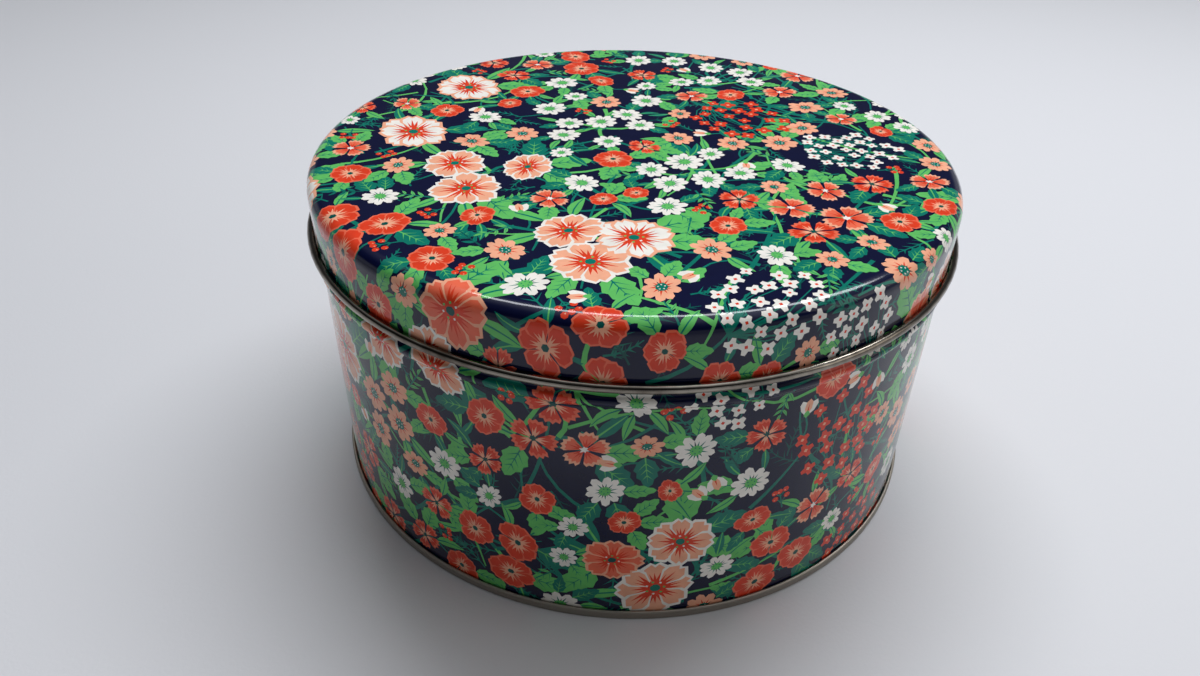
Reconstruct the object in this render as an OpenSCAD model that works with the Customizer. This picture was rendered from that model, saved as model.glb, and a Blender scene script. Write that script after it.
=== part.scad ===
// Round slip-lid tin box: a drawn lid, a rolled body with a folded side seam,
// and a bottom end double-seamed onto the body.
// Millimetres. +Z is up. The origin is the middle of the ring that the tin stands on.

/* [Whole tin] */
// Outside diameter of the lid's straight skirt
lid_d = 190; // [80:1:300]
// Height of the closed tin, from the table to the top of the lid
tin_h = 98.4; // [45:0.1:250]
// Thickness of the tinplate sheet
sheet = 0.28; // [0.2:0.01:0.34]

/* [Lid] */
// Outside radius of the lid's rounded top edge
lid_edge_r = 4; // [2.5:0.1:8]
// Depth of the lid, from its top to the foot of its rolled edge
lid_depth = 18.3; // [10:0.1:40]
// Diameter of the outward roll on the lid's lower edge
lid_roll_d = 2.4; // [1.8:0.1:4]
// Slip clearance between the lid's skirt and the body's wall, on each side
lid_slip = 0.3; // [0.2:0.05:0.8]
// Height of the closed lid above the place where it would touch the mouth
lid_seat_gap = 0.3; // [0.1:0.05:0.6]

/* [Body] */
// Diameter of the inward roll round the mouth
mouth_roll_d = 2.2; // [1.6:0.1:3.2]
// Height of the stop bead that runs round the wall below the lid
bead_h = 5.2; // [4:0.1:8]
// How far the stop bead stands out from the wall
bead_out = 1.3; // [0.6:0.1:1.7]
// Height of the lid's rolled edge above the stop bead
bead_below_lid = 1.2; // [0.5:0.1:4]
// Width of the folded side seam, inside the wall at the back
side_seam_w = 4.5; // [3:0.1:8]
// Width of the fine groove that the side seam leaves in the wall outside
side_groove_w = 0.6; // [0.4:0.1:1.5]
// Depth of that groove
side_groove_depth = 0.15; // [0.08:0.01:0.2]
// How far the side seam's folds stop short of the mouth's roll
side_seam_end_gap = 1.5; // [0.6:0.1:5]

/* [Base] */
// Height of the double seam that joins the bottom end to the body
seam_h = 2.8; // [2.6:0.1:4.5]
// Air gap between the folded layers of the double seam
seam_gap = 0.1; // [0.05:0.01:0.14]
// Length left between the folded tips and the folds that they face
seam_tip_gap = 0.3; // [0.1:0.05:0.5]
// Height of the bottom panel's underside above the table
base_rise = 3; // [2.6:0.1:8]
// Bend radius of the sheet where the bottom panel meets its rim
base_bend_r = 1; // [0.6:0.1:3]
// Distance of the stiffening step from the bottom end's rim
base_step_in = 14; // [5:0.5:30]
// Height of the stiffening step
base_step_h = 0.8; // [0.4:0.1:2]
// Width of the stiffening step
base_step_w = 2.4; // [2:0.1:5]

/* [Hidden] */
$fn = 180;
// Points in each quarter turn of a bend
bend_steps = 6;
// How far round a rolled edge turns before its tip, in degrees
roll_turn = 300;
// Layers that the side seam's folds add inside the wall
side_seam_layers = 3;
// Overlap that fuses the side seam's folds to the wall they are folded from
fuse = 0.04;
half = sheet / 2;

// Places follow the sheet's middle line
skirt_r = lid_d / 2 - half;
wall_r = lid_d / 2 - sheet - lid_slip - half;

// The lid's rolled edge
lid_roll_r = lid_roll_d / 2 - half;
lid_roll_z = tin_h - lid_depth + lid_roll_d / 2;

// The mouth's roll sits inside the lid's rounded edge
mouth_roll_r = mouth_roll_d / 2 - half;
mouth_roll_x = wall_r - mouth_roll_r;
edge_centre = [lid_d / 2 - lid_edge_r, tin_h - lid_edge_r];
seat_reach = lid_edge_r - sheet - mouth_roll_d / 2;
seat_across = mouth_roll_x - edge_centre[0];
mouth_roll_z = edge_centre[1] + sqrt(max(0, seat_reach * seat_reach - seat_across * seat_across))
               - lid_seat_gap;

// The stop bead is an even wave of three arcs of one radius
bead_top_z = tin_h - lid_depth - bead_below_lid;
bead_z = bead_top_z - bead_h;
bead_turn = 2 * atan(2 * bead_out / bead_h);
bead_r = bead_h / (4 * sin(bead_turn));

// The double seam's five layers stand one pitch apart
pitch = sheet + seam_gap;
chuck_r = wall_r - pitch;
end_hook_r = wall_r + pitch;
body_hook_r = wall_r + 2 * pitch;
seam_r = wall_r + 3 * pitch;
body_fold_z = half + pitch;
body_hook_tip_z = seam_h - pitch - seam_tip_gap;
end_hook_tip_z = body_fold_z + pitch + seam_tip_gap;
// Bends inside the seam: a tight fold, and the wider one of the ring that the tin stands on
fold_r = 0.95 * pitch;
foot_bend_r = 1.2 * pitch;
panel_z = base_rise + half;
side_seam_z = seam_h + side_seam_end_gap;

// An arc of the sheet's middle line: each point with the sheet's left-hand normal beside it
function arc(centre, radius, from, to) =
    let (steps = max(2, ceil(abs(to - from) * bend_steps / 90)), side = to > from ? -1 : 1)
    [for (i = [0 : steps])
        let (a = from + (to - from) * i / steps, ray = [cos(a), sin(a)])
        [centre + radius * ray, side * ray]];

function unit(v) = v / norm(v);

// A rounded corner at b, on the way from a to c
function bend(a, b, c, radius) =
    let (
        back = unit(a - b),
        ahead = unit(c - b),
        inside = acos(back * ahead),
        centre = b + unit(back + ahead) * radius / sin(inside / 2),
        start = b + back * radius / tan(inside / 2) - centre,
        left = back[1] * ahead[0] - back[0] * ahead[1] > 0,
        from = atan2(start[1], start[0])
    )
    arc(centre, radius, from, from + (left ? 1 : -1) * (180 - inside));

// A free end of the sheet at a, with the sheet running in the direction given
function tip(a, direction) = [[a, [-direction[1], direction[0]]]];

// A corner list, each corner as [point, bend radius], with its two ends as free ends
function folded(corners) =
    let (last = len(corners) - 1)
    concat(
        tip(corners[0][0], unit(corners[1][0] - corners[0][0])),
        [for (i = [1 : last - 1])
            each bend(corners[i - 1][0], corners[i][0], corners[i + 1][0], corners[i][1])],
        tip(corners[last][0], unit(corners[last][0] - corners[last - 1][0])));

// Sheet metal turned about the tin's axis, between two distances left of its middle line
module turned_sheet(path, right = -half, left = half) {
    last = len(path) - 1;
    rotate_extrude()
        polygon(concat(
            [for (i = [0 : last]) path[i][0] + right * path[i][1]],
            [for (i = [last : -1 : 0]) path[i][0] + left * path[i][1]]));
}

// The stop bead on the way up the wall
bead_path = concat(
    arc([wall_r + bead_r, bead_z], bead_r, 180, 180 - bead_turn),
    arc([wall_r + bead_r * (1 - 2 * cos(bead_turn)), bead_z + bead_h / 2], bead_r,
        -bead_turn, bead_turn),
    arc([wall_r + bead_r, bead_top_z], bead_r, 180 + bead_turn, 180));

// One-piece drawn lid: flat top, rounded edge, straight skirt, edge rolled outward
module lid() {
    top = [0, tin_h - half];
    shoulder = [skirt_r, tin_h - half];
    skirt_foot = [skirt_r, lid_roll_z];
    color("midnightblue")
        turned_sheet(concat(
            tip(top, [1, 0]),
            bend(top, shoulder, skirt_foot, lid_edge_r - half),
            arc([skirt_r + lid_roll_r, lid_roll_z], lid_roll_r, 180, 180 + roll_turn)));
}

// Rolled body wall: hook of the double seam, stop bead, mouth rolled inward, side seam
module tin_body() {
    hook_tip = [body_hook_r, body_hook_tip_z];
    fold_out = [body_hook_r, body_fold_z];
    fold_in = [wall_r, body_fold_z];
    wall_foot = [wall_r, bead_z];
    color("darkslateblue")
        difference() {
            union() {
                turned_sheet(concat(
                    tip(hook_tip, [0, -1]),
                    bend(hook_tip, fold_out, fold_in, fold_r),
                    bend(fold_out, fold_in, wall_foot, fold_r),
                    bead_path,
                    arc([mouth_roll_x, mouth_roll_z], mouth_roll_r, 0, roll_turn)));
                side_seam();
            }
            side_groove(side_seam_z, bead_z);
            side_groove(bead_top_z, mouth_roll_z - side_seam_end_gap);
        }
}

// The side seam's folds, inside the wall at the back, following the stop bead
module side_seam() {
    foot = [wall_r, side_seam_z];
    head = [wall_r, mouth_roll_z - side_seam_end_gap];
    intersection() {
        turned_sheet(concat(tip(foot, [0, 1]), bead_path, tip(head, [0, 1])),
            half - fuse, half + side_seam_layers * sheet);
        translate([-side_seam_w / 2, 0, 0])
            cube([side_seam_w, lid_d, tin_h]);
    }
}

// One length of the fine groove that the side seam leaves in the wall outside
module side_groove(from_z, to_z)
    translate([-side_groove_w / 2, wall_r + half - side_groove_depth, from_z])
        cube([side_groove_w, sheet, to_z - from_z]);

// Bottom end: raised panel with a stiffening step, rim down to the table, hooked round the body
module base_end() {
    step_r = chuck_r - base_step_in;
    raised_z = panel_z + base_step_h;
    step_bend_r = base_bend_r * 2;
    color("silver")
        turned_sheet(folded([
            [[0, raised_z]],
            [[step_r - base_step_w, raised_z], step_bend_r],
            [[step_r, panel_z], step_bend_r],
            [[chuck_r, panel_z], base_bend_r],
            [[chuck_r, half], foot_bend_r],
            [[seam_r, half], foot_bend_r],
            [[seam_r, seam_h - half], fold_r],
            [[end_hook_r, seam_h - half], fold_r],
            [[end_hook_r, end_hook_tip_z]]]));
}

lid();
tin_body();
base_end();
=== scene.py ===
# %% [markdown]
# # A round printed tin box
# This script dresses a round biscuit tin. The real tin is three pieces of thin tinplate: a drawn
# lid, a rolled body with a stop bead under the lid, and a bottom end seamed onto the body. The lid
# and the body carry a printed pattern of flowers under gloss varnish, and their rolled edges and
# insides are bare metal. The solids come from the CAD model, and everything here is made in its
# frame, in metres.

# %% Load the tin's solids
import math
import random
import bpy
import numpy as np
from mathutils import Matrix, Vector
from mathutils.geometry import delaunay_2d_cdt
from mathutils.kdtree import KDTree


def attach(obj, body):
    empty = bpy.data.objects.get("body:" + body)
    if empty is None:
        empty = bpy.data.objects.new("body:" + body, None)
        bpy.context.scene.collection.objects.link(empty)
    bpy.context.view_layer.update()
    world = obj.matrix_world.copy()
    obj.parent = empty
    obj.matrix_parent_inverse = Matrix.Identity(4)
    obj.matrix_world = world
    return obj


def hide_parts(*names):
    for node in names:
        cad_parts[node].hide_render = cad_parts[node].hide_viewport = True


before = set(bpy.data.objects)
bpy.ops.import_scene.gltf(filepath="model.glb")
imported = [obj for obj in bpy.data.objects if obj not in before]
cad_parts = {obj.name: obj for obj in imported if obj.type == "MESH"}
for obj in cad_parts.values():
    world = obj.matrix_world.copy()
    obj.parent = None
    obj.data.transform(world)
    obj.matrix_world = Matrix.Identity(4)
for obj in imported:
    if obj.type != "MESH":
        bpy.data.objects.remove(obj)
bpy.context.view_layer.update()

MM = 0.001
TURN = 2 * math.pi

# %% [markdown]
# ## Camera
# The photograph looks down on the tin from the front, close to it, with the wide lens of a phone.
# A pinhole camera was fitted to the tin's edges in the picture, so its place and lens are
# known well. Its three angles are turned here into the directions of its right, up and back.

# %% Camera
LENS, SENSOR = 26.68, 36.0      # mm
CAMERA_PLACE = Vector((0.0, -251.6, 204.7)) * MM
YAW, PITCH, ROLL = -0.035051, 0.614019, 0.0207358

flat_part = math.cos(PITCH)
ahead = Vector((math.sin(YAW) * flat_part, math.cos(YAW) * flat_part, -math.sin(PITCH)))
level = ahead.cross(Vector((0, 0, 1))).normalized()
upward = level.cross(ahead)
right = math.cos(ROLL) * level + math.sin(ROLL) * upward
up = -math.sin(ROLL) * level + math.cos(ROLL) * upward

camera_data = bpy.data.cameras.new("camera")
camera_data.lens, camera_data.sensor_width, camera_data.sensor_fit = LENS, SENSOR, "HORIZONTAL"
camera_data.clip_start = 10 * MM
camera = bpy.data.objects.new("camera", camera_data)
bpy.context.scene.collection.objects.link(camera)
turned = Matrix((right, up, -ahead)).transposed().to_4x4()
camera.matrix_world = Matrix.Translation(CAMERA_PLACE) @ turned
bpy.context.scene.camera = camera
print("camera looks down by", round(math.degrees(PITCH), 1), "degrees")

# %% [markdown]
# ## Small tools for materials
# Colours are written as they look on a screen, in hex. Blender mixes light in linear values, so
# one function turns them. Another adds a node, sets it and joins it up, and the short ones after
# it make the nodes that are wanted most.

# %% Colour and node tools
def linear(hex_colour):
    parts = [int(hex_colour[i:i + 2], 16) / 255 for i in (1, 3, 5)]
    parts = [c / 12.92 if c <= 0.04045 else ((c + 0.055) / 1.055) ** 2.4 for c in parts]
    return (*parts, 1.0)


def add_node(tree, kind, inputs, **settings):
    """Adds a node. Each input is given a value, or the socket that feeds it."""
    node = tree.nodes.new("ShaderNode" + kind)
    for name, value in settings.items():
        setattr(node, name, value)
    for name, value in inputs.items():
        if isinstance(value, bpy.types.NodeSocket):
            tree.links.new(value, node.inputs[name])
        else:
            node.inputs[name].default_value = value
    return node


def ranged(tree, value, from_low, from_high, to_low, to_high):
    """Moves a value from one range to another."""
    ends = {"From Min": from_low, "From Max": from_high, "To Min": to_low, "To Max": to_high}
    return add_node(tree, "MapRange", {"Value": value, **ends}).outputs["Result"]


def noise(tree, place, scale, detail, roughness=0.5):
    inputs = {"Vector": place, "Scale": scale, "Detail": detail, "Roughness": roughness}
    return add_node(tree, "TexNoise", inputs).outputs["Fac"]


def bumped(tree, height, strength, distance, over=None):
    """The way a surface faces once a height is added to it, over any earlier bump."""
    inputs = {"Height": height, "Strength": strength, "Distance": distance}
    if over:
        inputs["Normal"] = over
    return add_node(tree, "Bump", inputs).outputs["Normal"]


def object_place(tree):
    return add_node(tree, "TexCoord", {}).outputs["Object"]


def new_material(name, **shader_values):
    """A material with one Principled shader: returns it, its tree and the shader's inputs."""
    material = bpy.data.materials.new(name)
    material.use_nodes = True
    shader = material.node_tree.nodes["Principled BSDF"].inputs
    for key, value in shader_values.items():
        shader[key.replace("_", " ")].default_value = value
    return material, material.node_tree, shader


def set_ramp(node, stops, interpolation="LINEAR"):
    """Gives a Color Ramp its stops, each a place from 0 to 1 and a colour."""
    ramp = node.color_ramp
    ramp.interpolation = interpolation
    while len(ramp.elements) > 1:
        ramp.elements.remove(ramp.elements[-1])
    for i, (place, colour) in enumerate(stops):
        stop = ramp.elements[0] if i == 0 else ramp.elements.new(place)
        stop.position, stop.color = place, colour


print("a mid grey, #808080, is", round(linear("#808080")[0], 3), "in linear light")

# %% [markdown]
# ## Room
# The tin stands on a plain pale floor that fills the view. In the photograph a window behind and
# above lights the lid, draws a thin bright line along its rounded edge and leaves the front in
# soft shade. Here a long lamp stands for the window and a dim one at the right lifts that side.
# The sky is bright overhead, dark half way down, and pale at the horizon. The lid reflects the
# dark part towards the camera, so its inks stay deep. The room on the camera's side is darker than
# the window's side, as it was for the photographer.

# %% Floor, sky and lamps
FLOOR_ACROSS = 40.0     # metres, so that a low view doesn't see where it ends
floor_material, tree, shader = new_material(
    "pale_floor", Base_Color=linear("#d2d2d4"), Roughness=0.6)
weave = bumped(tree, noise(tree, object_place(tree), 900.0, 3.0), 0.15, 0.4 * MM)
tree.links.new(weave, shader["Normal"])
bpy.ops.object.select_all(action="DESELECT")
bpy.ops.mesh.primitive_plane_add(size=FLOOR_ACROSS, location=(0, 0, 0))
floor = bpy.context.object
floor.name = "floor"
floor.data.materials.append(floor_material)

sky = bpy.data.worlds.new("pale_sky")
bpy.context.scene.world = sky
sky.use_nodes = True
tree = sky.node_tree
generated = add_node(tree, "TexCoord", {}).outputs["Generated"]
direction = add_node(tree, "SeparateXYZ", {"Vector": generated}).outputs
# sine of the height above the horizon, and how bright the sky is there
SKY_STOPS = ((0.0, 0.44), (0.2, 0.38), (0.28, 0.09), (0.34, 0.05), (0.55, 0.08), (0.8, 0.65),
             (1.0, 1.75))
shade = add_node(tree, "ValToRGB", {"Fac": direction["Z"]})
set_ramp(shade, [(place, (level, level, level, 1.0)) for place, level in SKY_STOPS])
# the window is behind and to the right, so that side of the room is the bright one
sideways = add_node(tree, "Math", {0: direction["X"], 1: 0.7, 2: direction["Y"]},
                    operation="MULTIPLY_ADD")
window_side = ranged(tree, sideways.outputs["Value"], -0.5, 0.4, 0.1, 1.15)
# near the horizon all sides are alike
room = ranged(tree, direction["Z"], 0.2, 0.3, 1.0, window_side)
strength = add_node(tree, "Math", {0: shade.outputs["Color"], 1: room}, operation="MULTIPLY")
background = tree.nodes["Background"].inputs
background["Color"].default_value = linear("#e9ecf2")
tree.links.new(strength.outputs["Value"], background["Strength"])


def soft_lamp(name, place, aim, width, height, watts, colour):
    """A flat lamp at a place, turned to what it aims at, in metres."""
    data = bpy.data.lights.new(name, "AREA")
    data.shape, data.size, data.size_y, data.energy = "RECTANGLE", width, height, watts
    data.color = linear(colour)[:3]
    lamp = bpy.data.objects.new(name, data)
    bpy.context.scene.collection.objects.link(lamp)
    lamp.location = place
    lamp.rotation_euler = (Vector(aim) - Vector(place)).to_track_quat("-Z", "Y").to_euler()


soft_lamp("window_behind", (0.2, 0.38, 0.96), (0.2, 0, 0.05), 1.1, 0.22, 10.2, "#f7faff")
soft_lamp("side_fill", (1.0, -0.2, 0.5), (0, 0, 0.05), 0.7, 0.5, 1.3, "#fffaf4")
bpy.context.scene.view_settings.view_transform = "Standard"

# %% [markdown]
# ## The tin's sizes
# These are the CAD model's own sizes in millimetres. Every path below follows one face of the
# 0.28 mm sheet, so each new piece sits exactly where its solid is.

# %% Sizes of the tin
SHEET = 0.28
LID_R, TIN_TOP, LID_EDGE = 95.0, 98.4, 4.0
SKIRT_R = LID_R - SHEET / 2
LID_ROLL = (SKIRT_R + 1.06, 81.3, 1.06)             # middle of the roll: across, up, and its radius
WALL_R = 94.28
MOUTH_ROLL = (WALL_R - 0.96, 95.317, 0.96)
BEAD_FOOT, BEAD_TOP, BEAD_OUT = 73.7, 78.9, 1.3
SEAM_FOLD_Z, SEAM_PITCH, HOOK_TIP_Z = 0.52, 0.38, 2.12
SEGMENTS = 96                                       # sides round the tin


def arc_points(across, up, radius, start, end, steps):
    """Points on an arc of the sheet's middle, each with the direction out from its centre."""
    found = []
    for i in range(steps + 1):
        a = math.radians(start + (end - start) * i / steps)
        c, s = math.cos(a), math.sin(a)
        found.append((across + radius * c, up + radius * s, c, s))
    return found


def face_of(path, offset):
    """The face of the sheet that lies an offset away along the directions of a path."""
    return [(x + offset * nx, z + offset * nz) for x, z, nx, nz in path]


bead_turn = 2 * math.atan(2 * BEAD_OUT / (BEAD_TOP - BEAD_FOOT))
bead_radius = (BEAD_TOP - BEAD_FOOT) / (4 * math.sin(bead_turn))


def bead_path(steps=2):
    """The stop bead from its foot to its top: points with the direction out of the tin."""
    r, t = bead_radius, math.degrees(bead_turn)
    foot = arc_points(WALL_R + r, BEAD_FOOT, r, 180, 180 - t, steps)
    crest_middle = WALL_R + r * (1 - 2 * math.cos(bead_turn)), (BEAD_FOOT + BEAD_TOP) / 2
    crest = arc_points(*crest_middle, r, -t, t, 2 * steps)
    top = arc_points(WALL_R + r, BEAD_TOP, r, 180 + t, 180, steps)
    return facing_in(foot) + crest[1:-1] + facing_in(top)


def facing_in(path):
    """The same points, each with the direction in towards its arc's centre."""
    return [(x, z, -nx, -nz) for x, z, nx, nz in path]


print("bead arcs turn", round(math.degrees(bead_turn), 1), "degrees, radius",
      round(bead_radius, 2), "mm")

# %% [markdown]
# ## The printed pattern
# The real sheet is printed flat by lithography, in a few flat inks with hand-drawn streaks, and
# only then cut and pressed. The print here is made in the same order. It is a generic design of
# the maker's own: open flowers, daisies, pinks, bells, sprays of florets, leaves and ferns on
# navy. An image texture isn't used, so every shape is drawn as an outline in millimetres.
# The first tools draw single strokes along +x and move them to their place.

# %% Inks and strokes
INKS = ("#0b1032", "#de3f22", "#ec6c4e", "#f4ae8c", "#f1ece2", "#62bd62", "#067462", "#06504a")
NAVY, RED, CORAL, PEACH, CREAM, GREEN, TEAL, DEEP = range(8)
BARE = 8                                            # unprinted metal


def moved(points, angle=0.0, x=0.0, y=0.0, size=1.0):
    c, s = size * math.cos(angle), size * math.sin(angle)
    return [(x + c * px - s * py, y + s * px + c * py) for px, py in points]


def motif_moved(motif, angle=0.0, x=0.0, y=0.0, size=1.0):
    return [(ink, moved(points, angle, x, y, size)) for ink, points in motif]


def petal(start, reach, width, notch=0.0, fullness=1.6, steps=(0.25, 0.52, 0.76, 0.93)):
    """A petal from near the eye to its tip, widest towards the tip."""
    side = [(start, width * 0.06)]
    for t in steps:
        half = width / 2 * math.sin(math.pi * t ** fullness) ** 0.62
        side.append((start + (reach - start) * t, half))
    tip = [(reach, 0)]
    if notch:
        tip = [(reach, width * 0.16), (reach - notch, 0), (reach, -width * 0.16)]
    return side + tip + [(x, -y) for x, y in reversed(side)]


def blade(length, width, bow=0.0, steps=5):
    """A pointed leaf, bowed sideways."""
    up, down = [], []
    for i in range(1, steps):
        t = i / steps
        half = width / 2 * math.sin(math.pi * t ** 0.8) ** 0.9
        middle = bow * math.sin(math.pi * t)
        up.append((length * t, middle + half))
        down.append((length * t, middle - half))
    return [(0, 0)] + down + [(length, 0)] + up[::-1]


def streak(start, reach, width, lean=0.0):
    """A stroke of the pen that runs out to a point."""
    return [(start, -width / 2), (start + (reach - start) * 0.5, lean * 0.6 - width * 0.34),
            (reach, lean), (start, width / 2)]


def spot(x, y, r, corners=6):
    turns = [0.3 + TURN * i / corners for i in range(corners)]
    return [(x + r * math.cos(a), y + r * math.sin(a)) for a in turns]


def star(rng, inner, outer, teeth):
    """A jagged eye."""
    points = []
    for i in range(2 * teeth):
        r, a = (outer if i % 2 else inner) * rng.uniform(0.8, 1.2), math.pi * i / teeth
        points.append((r * math.cos(a), r * math.sin(a)))
    return points


def ribbon(path, first_width, last_width):
    """A stem along a path."""
    left, right_side, last = [], [], len(path) - 1
    for i, (x, y) in enumerate(path):
        (x0, y0), (x1, y1) = path[max(0, i - 1)], path[min(last, i + 1)]
        length = math.hypot(x1 - x0, y1 - y0) or 1
        half = (first_width + (last_width - first_width) * i / last) / 2
        left.append((x - (y1 - y0) / length * half, y + (x1 - x0) / length * half))
        right_side.append((x + (y1 - y0) / length * half, y - (x1 - x0) / length * half))
    return left + right_side[::-1]


def bowed(x0, y0, x1, y1, bow, steps=4):
    """A path between two places that bows to one side."""
    dx, dy = x1 - x0, y1 - y0
    return [(x0 + dx * t - dy * bow * 4 * t * (1 - t), y0 + dy * t + dx * bow * 4 * t * (1 - t))
            for t in (i / steps for i in range(steps + 1))]

# %% [markdown]
# Each flower is built up as the printer's inks were: a pale rim first, the petal over it, streaks
# from the eye over that, and the eye last. A seeded random source gives each one a slightly
# different hand.

# %% Flowers
def cosmos(rng, across, body, rim, stroke, eye):
    """An open flower of eight notched petals, four of them on top."""
    r, motif = across / 2, []
    for k in (0, 2, 4, 6, 1, 3, 5, 7):
        turn, reach = TURN * (k + rng.uniform(-0.14, 0.14)) / 8, r * rng.uniform(0.88, 1.0)
        wide = 0.77 * reach * rng.uniform(0.9, 1.08)
        motif.append((rim, moved(petal(0.14 * r, reach, wide, 0.08 * r), turn)))
        motif.append((body, moved(petal(0.16 * r, reach * 0.92, wide * 0.76, 0.1 * r), turn)))
        for lean in (-0.2, 0.03, 0.22):
            long = reach * rng.uniform(0.55, 0.82) * (1 - abs(lean) * 0.5)
            line = streak(0.1 * r, long, wide * 0.16, lean * wide * 0.9)
            motif.append((stroke, moved(line, turn)))
    motif += [(stroke, star(rng, 0.17 * r, 0.28 * r, 8)), (eye, spot(0, 0, 0.13 * r, 8))]
    for i in range(7):
        x, y = moved([(0.21 * r, 0)], TURN * i / 7)[0]
        motif.append((CREAM if i % 2 else GREEN, spot(x, y, 0.04 * r, 4)))
    return motif


def anemone(rng, across):
    """Six loose petals with a jagged pale star and a dark eye."""
    r, motif = across / 2, []
    for k in (0, 2, 4, 1, 3, 5):
        turn, reach = TURN * (k + rng.uniform(-0.14, 0.14)) / 6, r * rng.uniform(0.86, 1.0)
        wide = reach * rng.uniform(0.86, 1.0)
        motif.append((CORAL, moved(petal(0.1 * r, reach, wide, 0.05 * r, 1.75), turn)))
        motif.append((RED, moved(petal(0.12 * r, reach * 0.92, wide * 0.8, 0.04 * r, 1.75), turn)))
        for lean in (-0.2, 0.04, 0.2):
            long = reach * rng.uniform(0.5, 0.74) * (1 - abs(lean) * 0.6)
            motif.append((PEACH, moved(streak(0.15 * r, long, wide * 0.13, lean * wide), turn)))
    return motif + [(PEACH, star(rng, 0.17 * r, 0.3 * r, 7)), (DEEP, spot(0, 0, 0.14 * r, 6))]


def daisy(rng, across, body=CREAM, stroke=TEAL, eye=GREEN, dots=TEAL, count=10):
    """Narrow petals, each with one stroke, round a stippled button."""
    r, motif = across / 2, []
    for k in range(count):
        turn, reach = TURN * (k + rng.uniform(-0.18, 0.18)) / count, r * rng.uniform(0.86, 1.0)
        wide = TURN * reach / count * 0.8
        outline = petal(0.2 * r, reach, wide, 0, 1.25, (0.42, 0.84))
        motif.append((body, moved(outline, turn)))
        long = reach * rng.uniform(0.5, 0.7)
        line = [(0.2 * r, -wide * 0.11), (long, 0), (0.2 * r, wide * 0.11)]
        motif.append((stroke, moved(line, turn)))
    motif.append((eye, spot(0, 0, 0.29 * r, 8)))
    for i in range(5 if r > 5 else 3):
        x, y = moved([(0.16 * r, 0)], TURN * i / 5 + 0.4)[0]
        motif.append((dots, spot(x, y, 0.055 * r, 3)))
    return motif


def pink(rng, across, body, rim, stroke, eye):
    """Five fan-shaped petals with a fringed edge."""
    r, motif, half = across / 2, [], 0.52
    for k in range(5):
        turn, fan = TURN * (k + rng.uniform(-0.06, 0.06)) / 5, [(0.12 * r, -0.04 * r)]
        for i in range(9):
            a = -half + 2 * half * i / 8
            reach = r * ((0.98 if i % 2 else 0.86) - 0.1 * (a / half) ** 2)
            reach *= rng.uniform(0.97, 1.02)
            fan.append((reach * math.cos(a), reach * math.sin(a)))
        fan.append((0.12 * r, 0.04 * r))
        motif.append((rim, moved(fan, turn)))
        motif.append((body, moved(fan, turn, size=0.83)))
        for lean, long in ((0.02, 0.64), (0.15, 0.5), (-0.15, 0.5)):
            motif.append((stroke, moved(streak(0.1 * r, long * r, 0.12 * r, lean * r), turn)))
    motif.append((eye, star(rng, 0.1 * r, 0.2 * r, 6)))
    return motif


def bell(length):
    """A flower seen from its side, opening along +x."""
    outline = petal(0.1 * length, length, length * 0.44, 0, 1.3, (0.4, 0.8))
    petals = (-0.42, CREAM), (0.42, CREAM), (0.0, PEACH)
    motif = [(ink, moved(outline, lean)) for lean, ink in petals]
    start, half = 0.1 * length, 0.07 * length
    motif.append((RED, [(start, -half), (0.75 * length, 0), (start, half)]))
    motif.append((GREEN, moved(blade(0.42 * length, 0.34 * length, 0, 3), 0.0, -0.05 * length)))
    return motif


def spray(rng, across, body, eye, size):
    """Tiny four-petalled florets on fine stems that fan out from one side."""
    r, places, motif = across / 2, [], []
    for _ in range(260):
        x, y = moved([(r * math.sqrt(rng.random()), 0)], rng.uniform(0, TURN))[0]
        if all(math.hypot(x - px, 0.85 * y - py) > size * 0.95 for px, py in places):
            places.append((x, 0.85 * y))
    for x, y in places:
        stem = bowed(-r * 0.9, 0, x, y, 0.12 if y > 0 else -0.12, 2)
        motif.append((TEAL, ribbon(stem, 0.45, 0.3)))
    for x, y in places:
        turn, half = rng.uniform(0, TURN), size * rng.uniform(0.42, 0.55)
        radii = (half * (0.58, 1.0, 1.0)[i % 3] for i in range(12))
        outline = [moved([(radius, 0)], TURN * i / 12)[0] for i, radius in enumerate(radii)]
        motif.append((body, moved(outline, turn, x, y)))
        motif.append((eye, spot(x, y, 0.26 * half, 4)))
    return motif


print("flowers:", ", ".join(f.__name__ for f in (cosmos, anemone, daisy, pink, bell, spray)))

# %% [markdown]
# Leaves come in three hands: a toothed leaf with side veins, a narrow willow leaf with a midrib,
# and a fine fern of slanted strokes that fills the ground like the twigs in the real print.

# %% Leaves
def toothed_leaf(rng, length, body, vein):
    half, side = length * rng.uniform(0.25, 0.33), []
    for i in range(1, 8):
        t = i / 8
        side.append((length * (t + (0.03 if i % 2 else -0.01)),
                     half * math.sin(math.pi * t ** 0.72) ** 0.8 * (1.08 if i % 2 else 0.88)))
    motif = [(body, [(0, 0)] + [(x, -y) for x, y in side] + [(length, 0)] + side[::-1])]
    motif.append((vein, [(0, -0.02 * length), (0.9 * length, 0), (0, 0.02 * length)]))
    for i in range(3 if length > 8 else 2):
        for hand in (-1, 1):
            vein_long = length * (0.3 - 0.05 * i)
            stroke = [(0, -0.016 * length), (vein_long, 0), (0, 0.016 * length)]
            motif.append((vein, moved(stroke, hand * 0.75, (0.2 + 0.2 * i) * length)))
    return motif


def willow_leaf(rng, length, body, vein):
    bow = length * rng.uniform(-0.1, 0.1)
    middle = [(length * t, bow * math.sin(math.pi * t)) for t in (0.35, 0.68)]
    middle = [(0, 0), *middle, (0.92 * length, bow * 0.25)]
    return [(body, blade(length, length * rng.uniform(0.26, 0.34), bow)),
            (vein, ribbon(middle, 0.05 * length, 0.02 * length))]


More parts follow.
